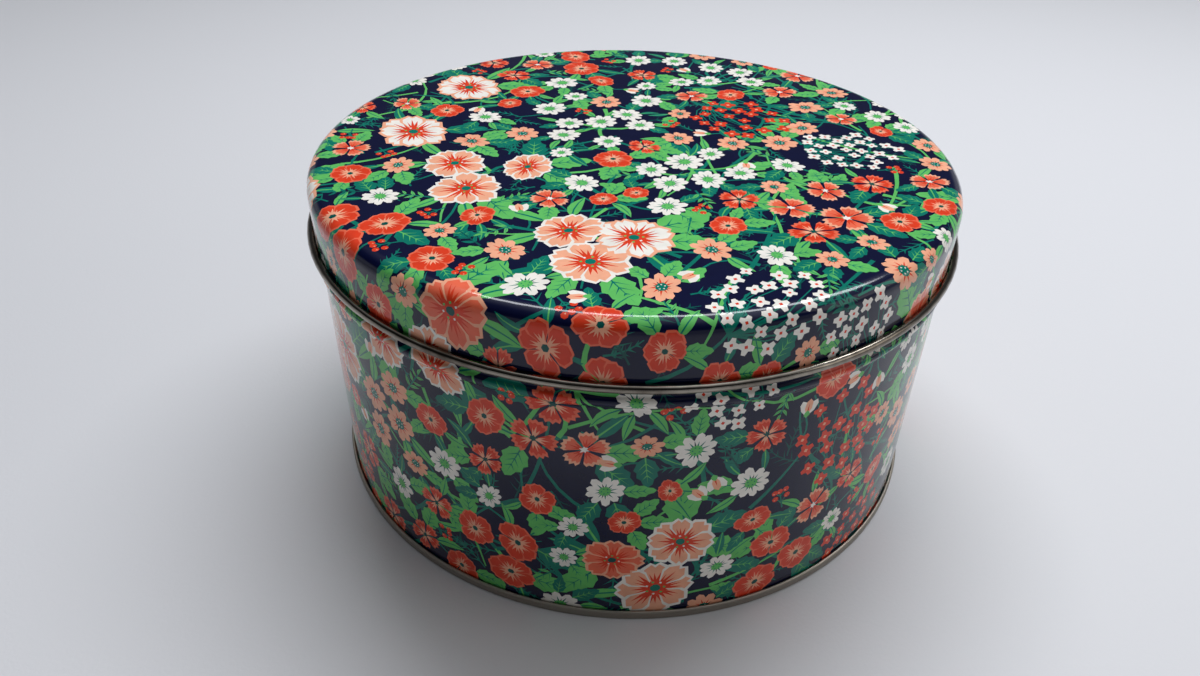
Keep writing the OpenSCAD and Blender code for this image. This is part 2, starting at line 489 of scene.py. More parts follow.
def twig(rng, length, body, vein):
    """A short stem with pairs of willow leaves."""
    motif = [(vein, ribbon([(0, 0), (length, 0)], 0.6, 0.35))]
    for t in (0.25, 0.55, 0.85):
        for hand in (-1, 1):
            leaf = willow_leaf(rng, length * 0.42 * (1.1 - 0.4 * t), body, vein)
            motif += motif_moved(leaf, hand * rng.uniform(0.6, 0.95), length * t)
    return motif + motif_moved(willow_leaf(rng, length * 0.34, body, vein), 0, length)


def fern(rng, length, ink=TEAL):
    path = bowed(0, 0, length, 0, rng.uniform(-0.12, 0.12), 5)
    motif = [(ink, ribbon(path, 0.55, 0.3))]
    for i in range(1, 5):
        for hand in (-1, 1):
            long = length * 0.3 * (1.15 - i / 6)
            motif.append((ink, moved([(0, -0.3), (long, 0), (0, 0.3)], hand * 0.8, *path[i])))
    return motif


def berries(rng, length):
    """A few round berries on a forked stem."""
    motif, ends = [(TEAL, ribbon([(0, 0), (length, 0)], 0.5, 0.3))], [(length, 0)]
    for t in (0.35, 0.7):
        for hand in (-1, 1):
            x, y = moved([(0.4 * length, 0)], hand * rng.uniform(0.6, 0.9), t * length)[0]
            motif.append((TEAL, ribbon([(t * length, 0), (x, y)], 0.35, 0.3)))
            ends.append((x, y))
    for x, y in ends:
        motif += [(RED, spot(x, y, 0.95, 7)), (PEACH, spot(x - 0.25, y + 0.3, 0.3, 3))]
    return motif


print("leaves:", ", ".join(f.__name__ for f in (toothed_leaf, willow_leaf, twig, fern, berries)))

# %% [markdown]
# The layout is made by throwing darts: a place is kept if nothing is too near. Groups of one kind
# of flower come first, spread evenly, then single flowers, then small things in the gaps that are
# left. Leaves and stems go under the flowers. About a third of the ground stays navy.

# %% Layout
GROUP_ROOM = 17.0, 18.5     # mm round the middle of a group that no other group's may enter
ONE_FERN_IN, ONE_STEM_IN, ONE_SMALL_TRY_IN = 190, 260, 9        # square mm
GREEN_SHARE, TOOTHED_SHARE = 0.56, 0.55
PAST_EDGE = 3.0             # mm that a flower's middle may lie past a round sheet's edge
SQUARE = 16                 # mm, side of the squares that discs are sorted into
SMALL_ROOM = 2.9, 3.6       # mm round the middle of a small thing


class Field:
    """Discs that motifs take up, sorted into squares so that near ones are found fast."""

    def __init__(self, width, height, round_sheet):
        self.width, self.height, self.round_sheet = width, height, round_sheet
        self.area, self.squares = width * height, {}

    def place(self, rng):
        x, y = rng.uniform(0, self.width), rng.uniform(0, self.height)
        return x - self.width / 2, y - self.height / 2

    def free(self, x, y, r):
        if self.round_sheet and math.hypot(x, y) > self.width / 2 + PAST_EDGE:
            return False
        gx, gy = int(x // SQUARE), int(y // SQUARE)
        near = (disc for i in range(gx - 2, gx + 3) for j in range(gy - 2, gy + 3)
                for disc in self.squares.get((i, j), ()))
        return all(math.hypot(x - px, y - py) > r + pr for px, py, pr in near)

    def take(self, x, y, r):
        self.squares.setdefault((int(x // SQUARE), int(y // SQUARE)), []).append((x, y, r))

    def darts(self, rng, tries, low, high):
        for _ in range(int(tries)):
            (x, y), r = self.place(rng), rng.uniform(low, high)
            if self.free(x, y, r):
                self.take(x, y, r)
                yield x, y, r


# kind of group, flowers in it, how far they spread, least gap, least and most across
GROUPS = (("cosmos", 3, 12.5, 16.0, 20.0, 26.0), ("white", 6, 14.5, 9.4, 9.5, 12.5),
          ("red spray", 1, 1.0, 1.0, 30.0, 34.0), ("anemone", 3, 11.0, 12.5, 13.5, 16.5),
          ("cosmos", 2, 12.0, 17.0, 23.0, 29.0), ("white spray", 1, 1.0, 1.0, 28.0, 32.0),
          ("peach", 5, 13.5, 10.5, 10.5, 13.5), ("cosmos", 3, 12.5, 15.0, 18.0, 24.0),
          ("white", 5, 14.0, 9.4, 9.5, 12.5), ("pink", 3, 11.5, 12.5, 13.0, 16.5))
# single flowers: least and most room, tries for each square mm, kinds
SINGLES = ((6.0, 7.2, 0.05, ("anemone", "pink", "peach", "white")),
           (4.3, 5.4, 0.04, ("white", "white", "anemone", "peach")))
# inks of the petals, rim, streaks and eye
COSMOS_LOOKS = ((PEACH, CREAM, RED, TEAL), (PEACH, CREAM, RED, TEAL),
                (CORAL, PEACH, RED, DEEP), (CREAM, PEACH, RED, TEAL))
PINK_LOOKS = ((CORAL, PEACH, RED, CREAM), (RED, CORAL, PEACH, DEEP))


def flower_of(rng, kind, across):
    draw, *looks = {"cosmos": (cosmos, *COSMOS_LOOKS), "pink": (pink, *PINK_LOOKS),
                    "anemone": (anemone, ()), "white": (daisy, ()),
                    "peach": (daisy, (PEACH, RED, TEAL, CREAM, 9)),
                    "red spray": (spray, (RED, PEACH, 4.7)),
                    "white spray": (spray, (CREAM, RED, 4.1))}[kind]
    look = rng.choice(looks) if len(looks) > 1 else looks[0]
    return draw(rng, across, *look)


def turned_away(rng, motif):
    """A flower tipped a little away from the eye."""
    narrow = rng.uniform(0.8, 1.0)
    motif = motif_moved(motif, rng.uniform(0, TURN))
    motif = [(ink, [(x, y * narrow) for x, y in points]) for ink, points in motif]
    return motif_moved(motif, rng.uniform(0, TURN))


def offsets(rng, count, spread, gap):
    found = []
    for _ in range(400):
        x, y = moved([(spread * math.sqrt(rng.random()), 0)], rng.uniform(0, TURN))[0]
        if len(found) < count and all(math.hypot(x - px, y - py) > gap for px, py in found):
            found.append((x, y))
    return found


def leaves_beside(rng, x, y, r, out, count, long):
    """Leaves that come out from under a flower, towards one side."""
    found = []
    for k in range(count):
        a = out + (k - (count - 1) / 2) * rng.uniform(0.7, 1.1)
        inks = (GREEN, TEAL) if rng.random() < GREEN_SHARE else (TEAL, GREEN)
        make = toothed_leaf if rng.random() < TOOTHED_SHARE else willow_leaf
        leaf = make(rng, long * rng.uniform(0.85, 1.25), *inks)
        found += motif_moved(leaf, a + rng.uniform(-0.3, 0.3),
                             x + 0.7 * r * math.cos(a), y + 0.7 * r * math.sin(a))
    return found


def draw_pattern(seed, field):
    """All the shapes of one sheet in drawing order, each an ink and an outline."""
    rng, stems, leaves, flowers = random.Random(seed), [], [], []
    middles = list(field.darts(rng, field.area / 4, *GROUP_ROOM))
    field.squares.clear()
    rng.shuffle(middles)
    for n, (x, y, _) in enumerate(middles):
        kind, count, spread, gap, low, high = GROUPS[n % len(GROUPS)]
        for dx, dy in offsets(rng, count, spread, gap):
            across = rng.uniform(low, high)
            r, px, py = across / 2, x + dx, y + dy
            flower = flower_of(rng, kind, across)
            if "spray" in kind:
                flowers.append((3, motif_moved(flower, rng.uniform(0, TURN), x, y)))
                field.take(x, y, 0.86 * r)
                continue
            flowers.append((1 if r < 7 else 0, motif_moved(turned_away(rng, flower), 0, px, py)))
            field.take(px, py, 0.9 * r)
            leaf_count, long = (3, 13) if r > 9 else (3, 10) if r > 6 else (2, 7.5)
            out = math.atan2(dy, dx) + rng.uniform(-0.5, 0.5)
            leaves += leaves_beside(rng, px, py, r, out, leaf_count, long)
            ink, bow = rng.choice((GREEN, TEAL)), rng.uniform(-0.25, 0.25)
            stems.append((ink, ribbon(bowed(x, y, px, py, bow), 1.4, 0.9)))
    for low, high, tries, kinds in SINGLES:
        for x, y, r in field.darts(rng, field.area * tries, low, high):
            flower = turned_away(rng, flower_of(rng, rng.choice(kinds), 1.85 * r))
            flowers.append((2, motif_moved(flower, 0, x, y)))
            leaves += leaves_beside(rng, x, y, r, rng.uniform(0, TURN), 3, 8)
    for x, y, _ in field.darts(rng, field.area / ONE_SMALL_TRY_IN, *SMALL_ROOM):
        turn, pick = rng.uniform(0, TURN), rng.random()
        across, up = math.cos(turn), math.sin(turn)
        back = turn, x - 4 * across, y - 4 * up
        if pick < 0.34:
            inks = (GREEN, TEAL) if pick < 0.25 else (TEAL, DEEP)
            leaves += motif_moved(twig(rng, 8.5, *inks), *back)
        elif pick < 0.5:
            leaves += motif_moved(berries(rng, 6.5), *back)
        elif pick < 0.72:
            flowers.append((2, motif_moved(bell(5.6), turn, x, y)))
            stem = bowed(x, y, x - 9 * across, y - 9 * up, 0.15)
            stems.append((TEAL, ribbon(stem, 0.6, 0.6)))
        else:
            stems += motif_moved(fern(rng, 9.5), *back)
    for _ in range(int(field.area / ONE_FERN_IN)):
        motif = fern(rng, rng.uniform(9, 14), rng.choice((DEEP, TEAL, TEAL)))
        stems += motif_moved(motif, rng.uniform(0, TURN), *field.place(rng))
    for _ in range(int(field.area / ONE_STEM_IN)):
        (x, y), turn, long = field.place(rng), rng.uniform(0, TURN), rng.uniform(20, 38)
        end = x + long * math.cos(turn), y + long * math.sin(turn)
        path = bowed(x, y, *end, rng.uniform(-0.25, 0.25), 6)
        stems.append((rng.choice((TEAL, TEAL, GREEN)), ribbon(path, rng.uniform(0.9, 1.5), 0.5)))
    flowers.sort(key=lambda flower: -flower[0])
    return stems + leaves + [shape for _, motif in flowers for shape in motif]


print("kinds of group, in turn:", ", ".join(group[0] for group in GROUPS))

# %% [markdown]
# ## From drawing to sheet
# A flat colour has to change exactly where an outline runs, so the sheet's mesh is cut along the
# outlines: that is why this surface is triangulated in code and not modelled by hand. Blender's
# own triangulator takes all outlines and guide lines, each small triangle takes the ink of the
# topmost shape over its middle, and then only edges where the ink changes, or where the sheet
# will bend, are kept for a second, much lighter triangulation.

# %% Cut the sheet along its outlines
FLAT_WITHIN = 0.045     # mm that an outline may leave its own line when it is straightened
STRAIGHT_UP_TO = 4      # mm, longest line that straightening makes
TOUCHING = 1e-5         # mm, points of the first triangulation that are taken as one
MERGED_WITHIN = 0.02    # mm, points that the light triangulation takes as one
WELDED_WITHIN = 0.006   # mm, points of it that are still too near and are made one


def topmost(places, shapes):
    """The ink of the last shape drawn over each place."""
    order = np.argsort(places[:, 0])
    xs, ys = places[order, 0], places[order, 1]
    ink = np.zeros(len(xs), int)
    for colour, outline in shapes:
        p = np.array(outline)
        low, high = np.searchsorted(xs, (p[:, 0].min(), p[:, 0].max()))
        inside = (ys[low:high] > p[:, 1].min()) & (ys[low:high] < p[:, 1].max())
        near = low + np.flatnonzero(inside)
        if len(near) == 0:
            continue
        (px, py), (qx, qy) = p.T[:, :, None], np.roll(p, -1, 0).T[:, :, None]
        x, y = xs[near], ys[near]
        with np.errstate(divide="ignore", invalid="ignore"):
            crossed = ((py > y) != (qy > y)) & (x < px + (y - py) * (qx - px) / (qy - py))
        ink[near[crossed.sum(0) % 2 == 1]] = colour
    found = np.empty_like(ink)
    found[order] = ink
    return found


def middles_of(points, triangles):
    return np.array(points)[np.array(triangles)].mean(1)


def straightened(points, edges, stay):
    """Drops points almost on the line between their two neighbours, but none that must stay."""
    neighbours = {}
    for a, b in edges:
        neighbours.setdefault(a, set()).add(b)
        neighbours.setdefault(b, set()).add(a)
    for v in list(neighbours):
        if v in stay or len(neighbours[v]) != 2:
            continue
        a, b = neighbours[v]
        (x, y), (ax, ay), (bx, by) = points[v], points[a], points[b]
        length = math.hypot(bx - ax, by - ay)
        aside = abs((bx - ax) * (y - ay) - (by - ay) * (x - ax))
        if length < STRAIGHT_UP_TO and aside < FLAT_WITHIN * length and b not in neighbours[a]:
            neighbours[a].remove(v), neighbours[b].remove(v)
            neighbours[a].add(b), neighbours[b].add(a)
            del neighbours[v]
    return [(a, b) for a in neighbours for b in neighbours[a] if a < b]


def welded(points, triangles):
    """Makes one of points that nearly touch, and drops the triangles that this folds flat."""
    tree = KDTree(len(points))
    for i, (x, y) in enumerate(points):
        tree.insert((x, y, 0), i)
    tree.balance()
    same = list(range(len(points)))
    for i, (x, y) in enumerate(points):
        if same[i] == i:
            for _, j, _ in tree.find_range((x, y, 0), WELDED_WITHIN):
                if same[j] == j and j > i:
                    same[j] = i
    found = {}
    for triangle in triangles:
        corners = tuple(same[v] for v in triangle)
        if len(set(corners)) == 3:
            found.setdefault(frozenset(corners), []).append(corners)
    kept = [faces[0] for faces in found.values() if len(faces) % 2]
    used = sorted({v for triangle in kept for v in triangle})
    place = {v: i for i, v in enumerate(used)}
    return [points[v] for v in used], [tuple(place[v] for v in triangle) for triangle in kept]


def cut_sheet(shapes, guides, margin, bare=()):
    """Points, triangles and inks of a flat sheet. Margin keeps the drawing off the sheet's edge."""
    points, edges, kept_shapes = [], [], []
    for a, b in guides:
        edges.append((len(points), len(points) + 1))
        points += [a, b]
    for ink, outline in shapes + list(bare):
        inside = outline if ink == BARE else [margin(x, y) for x, y in outline]
        if ink != BARE and all(p != q for p, q in zip(inside, outline)):
            continue
        kept_shapes.append((ink, inside))
        first, count = len(points), len(inside)
        edges += [(first + (i or count) - 1, first + i) for i in range(count)]
        points += inside
    points, lines, triangles, _, sources, _ = delaunay_2d_cdt(
        points, edges, [], 0, TOUCHING, True)
    ink_at = {}
    for triangle, ink in zip(triangles, topmost(middles_of(points, triangles), kept_shapes)):
        for k in range(3):
            ink_at[triangle[k], triangle[(k + 1) % 3]] = ink
    fixed, changes = [], []
    for (a, b), source in zip(lines, sources):
        if any(edge < len(guides) for edge in source):
            fixed.append((a, b))
        elif ink_at.get((a, b)) != ink_at.get((b, a)):
            changes.append((a, b))
    light = fixed + straightened(points, changes, {v for line in fixed for v in line})
    used = sorted({v for line in light for v in line})
    place = {v: i for i, v in enumerate(used)}
    points, _, triangles, _, _, _ = delaunay_2d_cdt(
        [points[v] for v in used], [(place[a], place[b]) for a, b in light],
        [], 0, MERGED_WITHIN, False)
    points, triangles = welded(points, triangles)
    ink = topmost(middles_of(points, triangles), kept_shapes)
    return np.array([tuple(p) for p in points]), np.array(triangles), ink


print("outlines are followed to", FLAT_WITHIN, "mm")

# %% [markdown]
# The flat sheet is then bent onto the tin. On a drawn lid the metal keeps its area, so a place at
# some distance from the middle of the blank ends up where the same area of lid lies inside it:
# that sets how far down the skirt each flower lands. Every point also keeps its place on the flat
# sheet, for the lid's map, and the true direction of the surface, so that reflections run smooth
# over the uneven triangles.

# %% Bend a flat sheet into a printed surface
LID_SEED, BODY_SEED = 11, 12
EDGE_MIDDLE_R, EDGE_MIDDLE_Z = LID_R - LID_EDGE, TIN_TOP - LID_EDGE
EDGE_RINGS = range(0, 91, 15)       # degrees round the lid's edge
HIDDEN_RIM = 0.4                    # mm of sheet that the drawing leaves free along an edge


def printed_surface(name, flat, triangles, ink, place_on_tin):
    """A mesh of the flat triangles at their places on the tin, each face with its ink."""
    places = np.array([place_on_tin(x, y) for x, y in flat])
    mesh = bpy.data.meshes.new(name)
    mesh.from_pydata(places[:, :3] * MM, [], triangles.tolist())
    add = mesh.attributes.new
    add("ink", "FLOAT", "FACE").data.foreach_set("value", (ink + 0.5) / len(INKS))
    level = np.column_stack((flat, np.ones(len(flat))))
    add("flat", "FLOAT_VECTOR", "POINT").data.foreach_set("vector", level.ravel())
    add("facing", "FLOAT_VECTOR", "POINT").data.foreach_set("vector", places[:, 3:].ravel())
    piece = bpy.data.objects.new(name, mesh)
    bpy.context.scene.collection.objects.link(piece)
    return piece


def ring_of(radius):
    return [moved([(radius, 0)], TURN * i / SEGMENTS)[0] for i in range(SEGMENTS)]


edge_turns = np.linspace(0, math.pi / 2, 91)
edge_area = EDGE_MIDDLE_R * edge_turns + LID_EDGE * (1 - np.cos(edge_turns))
edge_blank = np.sqrt(EDGE_MIDDLE_R ** 2 + 2 * LID_EDGE * edge_area)
BLANK_R = math.sqrt(edge_blank[-1] ** 2 + 2 * LID_R * (EDGE_MIDDLE_Z - LID_ROLL[1]))


def place_on_lid(x, y):
    """Where a point of the lid's flat blank lies once the lid is drawn, and which way it faces."""
    blank = math.hypot(x, y)
    cx, cy = (x / blank, y / blank) if blank else (1.0, 0.0)
    if blank <= EDGE_MIDDLE_R:
        return x, y, TIN_TOP, 0.0, 0.0, 1.0
    turn = np.interp(blank, edge_blank, edge_turns)
    across, up = math.sin(turn), math.cos(turn)
    r, z = EDGE_MIDDLE_R + LID_EDGE * across, EDGE_MIDDLE_Z + LID_EDGE * up
    if blank > edge_blank[-1]:
        z = EDGE_MIDDLE_Z - (blank ** 2 - edge_blank[-1] ** 2) / (2 * LID_R)
    return r * cx, r * cy, z, across * cx, across * cy, up


def onto_disc(x, y):
    """Keeps the drawing just inside the blank's rim, which the lid's roll hides."""
    d, rim = math.hypot(x, y), BLANK_R - HIDDEN_RIM
    return (x, y) if d <= rim else (x * rim / d, y * rim / d)


guides = []
for radius in [*np.interp(np.radians(EDGE_RINGS), edge_turns, edge_blank), BLANK_R]:
    ring = ring_of(float(radius))
    guides += zip(ring, ring[1:] + ring[:1])
guides += zip(ring_of(EDGE_MIDDLE_R), ring_of(BLANK_R))
lid_shapes = draw_pattern(LID_SEED, Field(2 * BLANK_R, 2 * BLANK_R, True))
lid = printed_surface("lid_shell", *cut_sheet(lid_shapes, guides, onto_disc), place_on_lid)
print("lid blank radius", round(BLANK_R, 1), "mm;", len(lid_shapes), "shapes,",
      len(lid.data.polygons), "triangles")

# %% [markdown]
# ## Rolled edges and the inside
# The rest of the sheet is turned metal: the roll, the cut tip of the sheet and the whole inner
# face. It is modelled as a metal spinner would think of it. A ring of points starts where the
# print ends, and is pulled out again and again, each time scaled to the next radius and moved to
# the next height of the profile, until the inside closes at the middle.

# %% Pull a ring along a profile
def pulled_ring(name, profile, close_middle=False):
    """A turned surface through the profile, a list of radius and height in millimetres."""
    bpy.ops.object.select_all(action="DESELECT")
    (radius, height), rest = profile[0], profile[1:]
    bpy.ops.mesh.primitive_circle_add(
        vertices=SEGMENTS, radius=radius * MM, location=(0, 0, height * MM))
    ring = bpy.context.object
    bpy.ops.object.transform_apply(location=True, rotation=True, scale=True)
    bpy.ops.object.mode_set(mode="EDIT")
    bpy.ops.mesh.select_all(action="SELECT")
    for next_radius, next_height in rest:
        rise, grow = (next_height - height) * MM, next_radius / radius
        bpy.ops.mesh.extrude_edges_move(TRANSFORM_OT_translate={"value": (0, 0, rise)})
        bpy.ops.transform.resize(value=(grow, grow, 1))
        radius, height = next_radius, next_height
    if close_middle:
        bpy.ops.mesh.extrude_edges_move(TRANSFORM_OT_translate={"value": (0, 0, 0)})
        bpy.ops.mesh.merge(type="CENTER")
    bpy.ops.object.mode_set(mode="OBJECT")
    ring.name = ring.data.name = name
    for layer in list(ring.data.uv_layers):
        ring.data.uv_layers.remove(layer)
    return ring


def both_faces(path, first=-SHEET / 2):
    """One face of the sheet along a path, and back along the other."""
    return face_of(path, first) + face_of(path, -first)[::-1]


def rounded(points):
    return [(round(r, 5), round(z, 5)) for r, z in points]


roll = arc_points(*LID_ROLL, 180, 480, 24)
inner_edge = arc_points(EDGE_MIDDLE_R, EDGE_MIDDLE_Z, LID_EDGE - SHEET, 0, 90, 6)
lid_profile = rounded(both_faces(roll) + [p[:2] for p in inner_edge]
                      + [(r, TIN_TOP - SHEET) for r in (60, 25)])
lid_metal = pulled_ring("lid_metal", lid_profile, close_middle=True)
print("lid's turned metal:", len(lid_profile), "rings,", len(lid_metal.data.polygons), "faces")

# %% [markdown]
# The printed face and the turned metal meet at the same ring of points. Joining them and merging
# the doubles on their open edges makes one closed sheet. The points inside the print stay apart,
# however close they are.

# %% Join the faces of the sheet
JOINED_WITHIN, SHARP_EDGE = 0.012, 40       # mm, degrees


def values_of(items, name, wide=1, kind=np.float32):
    """A number, or a row of them, for each point, corner or face of a mesh."""
    found = np.zeros(wide * len(items), dtype=kind)
    items.foreach_get(name, found)
    return found.reshape(-1, wide) if wide > 1 else found


def one_sheet(printed, *metal):
    """Joins the printed surface and its bare metal into one closed shell."""
    bpy.ops.object.select_all(action="DESELECT")
    for piece in (printed, *metal):
        piece.select_set(True)
    bpy.context.view_layer.objects.active = printed
    bpy.ops.object.join()
    bpy.ops.object.mode_set(mode="EDIT")
    bpy.ops.mesh.select_all(action="DESELECT")
    bpy.ops.mesh.select_non_manifold()
    bpy.ops.mesh.remove_doubles(threshold=JOINED_WITHIN * MM)
    bpy.ops.mesh.select_all(action="SELECT")
    bpy.ops.mesh.normals_make_consistent(inside=False)
    bpy.ops.mesh.select_all(action="DESELECT")
    bpy.ops.mesh.select_non_manifold()
    bpy.ops.object.mode_set(mode="OBJECT")
    open_edges = sum(edge.select for edge in printed.data.edges)
    bpy.ops.object.shade_smooth_by_angle(angle=math.radians(SHARP_EDGE))
    mesh = printed.data
    facing = values_of(mesh.attributes["facing"].data, "vector", 3)
    mesh.normals_split_custom_set_from_vertices(facing)
    print(printed.name, len(mesh.polygons), "faces,", open_edges, "open edges")
    return printed


lid = one_sheet(lid, lid_metal)

# %% [markdown]
# ## Body
# The body's print is a strip as long as the tin is round. Its ends meet at the side seam at the
# back, where real litho sheets leave a bare margin so that the seam holds, and a bare band runs
# below the mouth. The flat strip is wrapped round the wall and follows the stop bead.

# %% Body's printed strip
WALL_OUT = WALL_R + SHEET / 2
PRINT_FOOT_Z, PRINT_HEAD_Z, SEAM_MARGIN = 1.5, 92.0, 2.6
GROOVE_HALF, GROOVE_DEEP, GROOVE_END = 0.3, 0.15, 0.3
GROOVES = ((4.3, BEAD_FOOT), (BEAD_TOP, MOUTH_ROLL[1] - 1.5))

wall_path = [(WALL_R, PRINT_FOOT_Z, 1, 0)] + bead_path() + [(WALL_R, MOUTH_ROLL[1], 1, 0)]
wall_face = np.array([(x + SHEET / 2 * nx, z + SHEET / 2 * nz, nx, nz)
                      for x, z, nx, nz in wall_path])
wall_run = np.concatenate(([0], np.cumsum(np.hypot(*np.diff(wall_face[:, :2], axis=0).T))))
STRIP_LONG, STRIP_TALL = TURN * WALL_OUT, float(wall_run[-1])
half_long, half_tall = STRIP_LONG / 2, STRIP_TALL / 2


def strip_row(z):
    """How far up the flat strip a height on the wall is."""
    return float(np.interp(z, wall_face[:, 1], wall_run)) - half_tall


def place_on_body(x, y):
    """Where a point of the strip lies on the wall and which way it faces, with the front at x = 0.
    The strip's ends sink into the seam's groove. Zeros there leave the facing to Blender."""
    r, z, nr, nz = (float(np.interp(y + half_tall, wall_run, wall_face[:, k])) for k in range(4))
    turn, length = x / WALL_OUT - math.pi / 2, math.hypot(nr, nz)
    c, s, near = math.cos(turn), math.sin(turn), 0.01
    if abs(x) > half_long - near and any(low + near < z < high - near for low, high in GROOVES):
        return (r - GROOVE_DEEP) * c, (r - GROOVE_DEEP) * s, z, 0.0, 0.0, 0.0
    return r * c, r * s, z, nr / length * c, nr / length * s, nz / length


def onto_strip(x, y):
    wide, tall = half_long - HIDDEN_RIM, half_tall - HIDDEN_RIM
    return min(max(x, -wide), wide), min(max(y, -tall), tall)


def box_outline(x0, y0, x1, y1):
    return [(x0, y0), (x1, y0), (x1, y1), (x0, y1)]


columns = [STRIP_LONG * (i / SEGMENTS - 0.5) for i in range(SEGMENTS + 1)]
rows = [float(run) - half_tall for run in wall_run]
guides = [((x, rows[0]), (x, rows[-1])) for x in columns]
guides += [((x0, y), (x1, y)) for y in rows for x0, x1 in zip(columns, columns[1:])]
for side in (-1, 1):
    x0, x1 = sorted((side * (half_long - GROOVE_HALF), side * half_long))
    for low, high in GROOVES:
        cuts = [strip_row(z) for z in (low, low + GROOVE_END, high - GROOVE_END, high)]
        guides += [((x0, y), (x1, y)) for y in cuts]
        guides += [((x, cuts[0]), (x, cuts[-1])) for x in (x0, x1)]
# the margins stop just short of the strip's foot, so that they add no point to its lower edge
FOOT_GAP = 0.05         # mm
foot_row, head_row = rows[0] + FOOT_GAP, strip_row(PRINT_HEAD_Z)
bare = [(BARE, box_outline(-half_long, head_row, half_long, rows[-1])),
        (BARE, box_outline(-half_long, foot_row, SEAM_MARGIN - half_long, head_row)),
        (BARE, box_outline(half_long - SEAM_MARGIN, foot_row, half_long, head_row))]
body_shapes = draw_pattern(BODY_SEED, Field(STRIP_LONG, STRIP_TALL, False))
body_cut = cut_sheet(body_shapes, guides, onto_strip, bare)
body = printed_surface("body_shell", *body_cut, place_on_body)
print("body strip", round(STRIP_LONG), "by", round(STRIP_TALL), "mm;",
      len(body.data.polygons), "triangles")

# %% [markdown]
# From the top of the strip the metal rolls inwards round the mouth and runs down the inside,
# over the back of the bead, to the hook that lies hidden in the bottom seam.

# %% Body's turned metal
HOOK_BEND = 0.361       # mm, radius of the sheet's middle where the hook turns
mouth = arc_points(*MOUTH_ROLL, 0, 300, 20)
HOOK_R = WALL_R + 2 * SEAM_PITCH
bends = [arc_points(middle, SEAM_FOLD_Z + HOOK_BEND, HOOK_BEND, start, start + 90, 4)
         for middle, start in ((WALL_R + HOOK_BEND, 180), (HOOK_R - HOOK_BEND, 270))]
hook = facing_in(bends[0] + bends[1]) + [(HOOK_R, HOOK_TIP_Z, -1, 0)]
body_profile = rounded(both_faces(mouth, SHEET / 2) + face_of(bead_path(3), -SHEET / 2)[::-1]
                       + both_faces(hook) + [(WALL_OUT, PRINT_FOOT_Z)])
body_metal = pulled_ring("body_metal", body_profile)
body = one_sheet(body, body_metal)

# %% [markdown]
# The body's two ends are hooked into each other and pressed flat, so inside the wall the side
# seam is a narrow strip of folded metal. It is pulled up along the wall, and its edges are softened
# by a bevel, as folded sheet has no sharp corners.

# %% Side seam inside the wall
SEAM_STRIP_W, SEAM_LAYERS, SEAM_AIR = 4.5, 3, 0.1
FOLD_BEVEL, FOLD_SHARP = 0.12, 50           # mm, degrees
seam_path = [(WALL_R, GROOVES[0][0])] + [p[:2] for p in bead_path(3)] + [(WALL_R, GROOVES[1][1])]
deep = SHEET * SEAM_LAYERS + SEAM_AIR
seam_middle = seam_path[0][0] - SHEET / 2 + SEAM_AIR - deep / 2
bpy.ops.object.select_all(action="DESELECT")
bpy.ops.mesh.primitive_plane_add(size=1.0)
side_seam = bpy.context.object
side_seam.scale = (SEAM_STRIP_W * MM, deep * MM, 1)
side_seam.location = (0, seam_middle * MM, seam_path[0][1] * MM)
bpy.ops.object.transform_apply(location=True, rotation=True, scale=True)
bpy.ops.object.mode_set(mode="EDIT")
bpy.ops.mesh.select_all(action="SELECT")
for (r0, z0), (r1, z1) in zip(seam_path, seam_path[1:]):
    step = (0, (r1 - r0) * MM, (z1 - z0) * MM)
    bpy.ops.mesh.extrude_region_move(TRANSFORM_OT_translate={"value": step})
bpy.ops.mesh.select_all(action="SELECT")
bpy.ops.mesh.normals_make_consistent(inside=False)
bpy.ops.object.mode_set(mode="OBJECT")
side_seam.name = side_seam.data.name = "side_seam"
bevel = side_seam.modifiers.new("soft folds", "BEVEL")
bevel.width, bevel.segments, bevel.limit_method = FOLD_BEVEL * MM, 2, "ANGLE"
bpy.ops.object.modifier_apply(modifier=bevel.name)
bpy.ops.object.shade_smooth_by_angle(angle=math.radians(FOLD_SHARP))
print("side seam:", len(side_seam.data.polygons), "faces")

# %% [markdown]
# ## Maps
# Each piece gets a map on which its finish can be baked into one square picture. The lid's flat
# blank fills the square as a disc, with its bare metal small in a corner. The body's strip is laid
# in two rows, with its bare metal in a third.

# %% Map each sheet
DISC_R, CORNER_MIDDLE, CORNER_R = 0.492, 0.079, 0.074       # parts of the map's side
MAP_GAP, METAL_LONG = 0.01, 0.985                           # the same, for the body's metal
ROW = 1 / (half_long + 2)           # part of the map's side that one millimetre takes
METAL_ROW = (2 * STRIP_TALL + 8) * ROW


def face_inks(mesh):
    """Each face's ink as the ramp reads it: 0 for turned metal, over 1 for a bare margin."""
    return values_of(mesh.attributes["ink"].data, "value")


def map_sheet(piece, printed_place, metal_place):
    """Maps a sheet: printed faces from the flat drawing, metal faces from their profile."""
    mesh = piece.data
    point = values_of(mesh.loops, "vertex_index", kind=np.int32)
    sides = values_of(mesh.polygons, "loop_total", kind=np.int32)
    face = np.repeat(np.arange(len(sides)), sides)
    printed = face_inks(mesh)[face] > 0
    flat = values_of(mesh.attributes["flat"].data, "vector", 3)[point, :2]
    place = values_of(mesh.vertices, "co", 3)[point] / MM
    middle = values_of(mesh.polygons, "center", 3)[face] / MM
    uv = np.where(printed[:, None], printed_place(flat, place, middle), metal_place(place, middle))
    layer = mesh.uv_layers.new(name="OFBake")
    layer.data.foreach_set("uv", uv.astype(np.float32).ravel())
    print(piece.name, "map from", uv.min(0).round(3), "to", uv.max(0).round(3))


